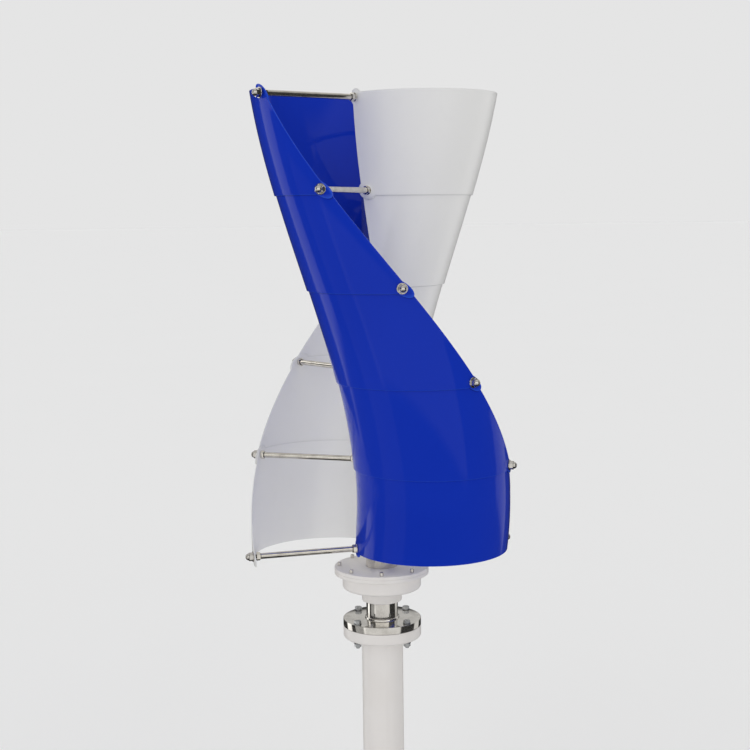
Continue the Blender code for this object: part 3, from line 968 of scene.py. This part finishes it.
# What shiny surfaces mirror: dark walls, a pale ceiling and these soft boxes, each as azimuth from +Y
# towards +X and half width in degrees, lowest and highest sine of elevation, and brightness
DARK_WALL = 0.03
CEILING = 0.6
SOFT_BOXES = (
    (180.0, 54.0, -0.62, -0.06, 0.82),
    (180.0, 50.0, 0.10, 0.52, 1.20),
    (-112.0, 16.0, -0.80, -0.02, 0.38),
    (-67.0, 9.0, -0.45, 0.50, 1.50),
    (57.0, 12.0, -0.42, 0.50, 0.70),
    (0.0, 40.0, 0.18, 0.70, 0.56),
)
WARM_TINT = (1.0, 0.99, 0.965)

# Broad lamps that light without shadows: azimuth from the front, elevation in degrees, strength
LAMPS = ((-50.0, 30.0, 0.72), (50.0, 30.0, 0.58), (180.0, 30.0, 0.58))
LAMP_SPREAD = 60.0


def build_stage():
    """A wide pale floor under the turbine."""
    bm = bmesh.new()
    bmesh.ops.create_grid(bm, x_segments=8, y_segments=8, size=FLOOR_HALF_WIDTH)
    mesh = bpy.data.meshes.new("floor")
    bm.to_mesh(mesh)
    bm.free()
    floor = bpy.data.objects.new("floor", mesh)
    gap = 0.0002
    floor.location.z = CAD_BOX[0].z - gap
    floor.visible_glossy = False
    bpy.context.scene.collection.objects.link(floor)
    nodes = Nodes("studio_floor")
    drift = 0.004
    nodes.colour(nodes.mix(nodes.noise(0.8, 2.0), (FLOOR_TONE - drift,) * 3, (FLOOR_TONE + drift,) * 3))
    nodes.set(Roughness=1.0, Specular_IOR_Level=0.0)
    mesh.materials.append(nodes.material)


def build_world():
    """Even pale light all round; what shiny surfaces mirror is a dark studio with soft boxes."""
    world = bpy.data.worlds.new("studio")
    bpy.context.scene.world = world
    world.use_nodes = True
    tree = world.node_tree
    tree.nodes.clear()
    make, link = tree.nodes.new, tree.links.new

    def maths(operation, a, b, c=0.0):
        node = make("ShaderNodeMath")
        node.operation = operation
        for value, socket in zip((a, b, c), node.inputs):
            if isinstance(value, (int, float)):
                socket.default_value = value
            else:
                link(value, socket)
        return node.outputs[0]

    def step(value, low, high):
        node = make("ShaderNodeMapRange")
        node.interpolation_type = "SMOOTHSTEP"
        node.inputs["From Min"].default_value = low
        node.inputs["From Max"].default_value = high
        link(value, node.inputs["Value"])
        return node.outputs["Result"]

    direction = make("ShaderNodeTexCoord").outputs["Generated"]
    split = make("ShaderNodeSeparateXYZ")
    link(direction, split.inputs[0])
    x, y, z = split.outputs
    azimuth = maths("ARCTAN2", x, y)

    def box_at(middle, half_width, low, high):
        """1 inside a soft box and 0 outside it, with a soft edge."""
        soft = 0.07
        middle, half_width = math.radians(middle), math.radians(half_width)
        away = maths("SUBTRACT", azimuth, middle)
        away = maths("ABSOLUTE", maths("WRAP", away, math.pi, -math.pi), 0.0)
        across = step(away, half_width + soft, half_width)
        upright = maths("MULTIPLY", step(z, low, low + soft), step(z, high + soft, high))
        return maths("MULTIPLY", across, upright)

    mirrored = maths("MULTIPLY_ADD", step(z, 0.35, 0.95), CEILING, DARK_WALL)
    for middle, half_width, low, high, power in SOFT_BOXES:
        mirrored = maths("MULTIPLY_ADD", box_at(middle, half_width, low, high), power, mirrored)
    colour = make("ShaderNodeCombineColor")
    for socket, share in zip(colour.inputs, WARM_TINT):
        link(maths("MULTIPLY", mirrored, share), socket)
    seen = make("ShaderNodeBackground")
    seen.inputs["Color"].default_value = (BACKDROP, BACKDROP, BACKDROP, 1.0)
    even = make("ShaderNodeBackground")
    even.inputs["Color"].default_value = (AMBIENT, AMBIENT, AMBIENT, 1.0)
    shiny = make("ShaderNodeBackground")
    link(colour.outputs[0], shiny.inputs["Color"])
    path = make("ShaderNodeLightPath").outputs
    first = make("ShaderNodeMixShader")
    link(path["Is Camera Ray"], first.inputs["Fac"])
    link(even.outputs[0], first.inputs[1])
    link(seen.outputs[0], first.inputs[2])
    choose = make("ShaderNodeMixShader")
    link(path["Is Glossy Ray"], choose.inputs["Fac"])
    link(first.outputs[0], choose.inputs[1])
    link(shiny.outputs[0], choose.inputs[2])
    link(choose.outputs[0], make("ShaderNodeOutputWorld").inputs["Surface"])


def build_lights():
    """Broad soft lamps round the turbine. They fill the insides of the scoops and aren't mirrored."""
    for number, (azimuth, elevation, strength) in enumerate(LAMPS, 1):
        data = bpy.data.lights.new(f"lamp_{number}", "SUN")
        data.energy = strength
        data.angle = math.radians(LAMP_SPREAD)
        data.use_shadow = False
        lamp = bpy.data.objects.new(f"lamp_{number}", data)
        lamp.rotation_euler = (math.radians(90.0 - elevation), 0.0, math.radians(azimuth))
        lamp.visible_glossy = False
        bpy.context.scene.collection.objects.link(lamp)


def build_camera():
    """Looking a little down on the rotor from the front, as the photograph does."""
    distance, height = 2.85, BOTTOM_ROW_Z + 0.7125
    turn, tilt_down, roll = 0.0032, 0.1188, -0.0123
    data = bpy.data.cameras.new("camera")
    data.sensor_width = 36.0
    data.lens = 64.92
    data.clip_end = 400.0
    camera = bpy.data.objects.new("camera", data)
    bpy.context.scene.collection.objects.link(camera)
    place = Matrix.Translation((0.0, -distance, height))
    aim = Matrix.Rotation(turn, 4, "Z") @ Matrix.Rotation(math.pi / 2 - tilt_down, 4, "X")
    camera.matrix_world = place @ aim @ Matrix.Rotation(roll, 4, "Z")
    bpy.context.scene.camera = camera


build_segments()
build_rods()
build_dome_nuts()
build_top_inner_nuts()
build_centre_tube()
build_tube_bosses()
build_cover()
build_cover_screws()
build_housing()
build_shaft()
build_pole()
build_flange_bolts()
finish_inner_nodes()
build_stage()
build_world()
build_lights()
build_camera()
bpy.context.scene.view_settings.view_transform = "Standard"
